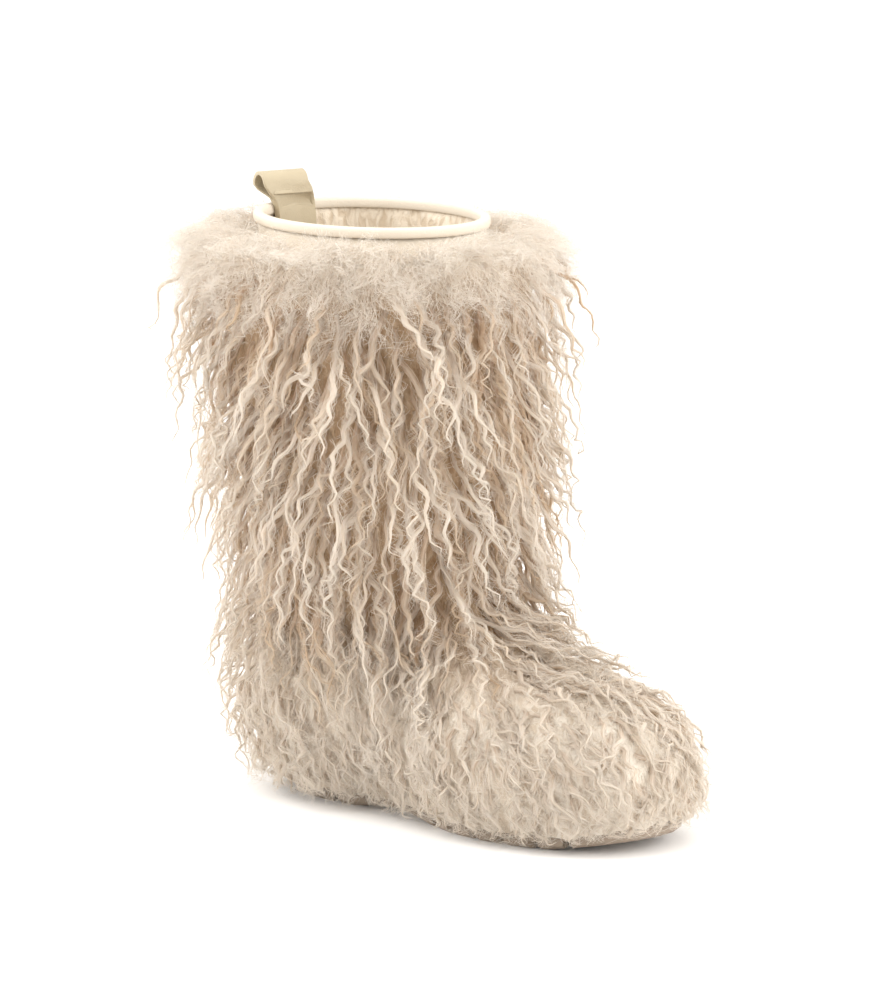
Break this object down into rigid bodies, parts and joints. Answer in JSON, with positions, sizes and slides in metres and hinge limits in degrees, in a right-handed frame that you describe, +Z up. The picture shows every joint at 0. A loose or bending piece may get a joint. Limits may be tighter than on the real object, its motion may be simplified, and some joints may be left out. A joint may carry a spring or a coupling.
{
  "type": "fur snow boot",
  "caption": "Right-foot winter boot covered in deep curly fleece, with a hollow hide upper, bound collar, back pull loop and a low rubber sole with lugs.",
  "frame": {"origin": "on the floor under the middle of the heel, on the heel's tread", "axes": "+X to the toe, +Y to the inner (medial) side of the foot, +Z up"},
  "size_m": [0.3648, 0.2272, 0.35],
  "materials": {
    "rubber": "matt moulded rubber",
    "felt": "soft wool felt",
    "hide": "suede-side hide",
    "binding": "smooth matt leather",
    "strap": "smooth leather strip",
    "fleece": "long curly fleece"
  },
  "bodies": {
    "root": {"outsole": "rubber", "insole": "felt", "upper": "hide", "collar_binding": "binding", "pull_loop": "strap", "fleece_shaft": "fleece", "fleece_foot": "fleece"}
  },
  "joints": []
}
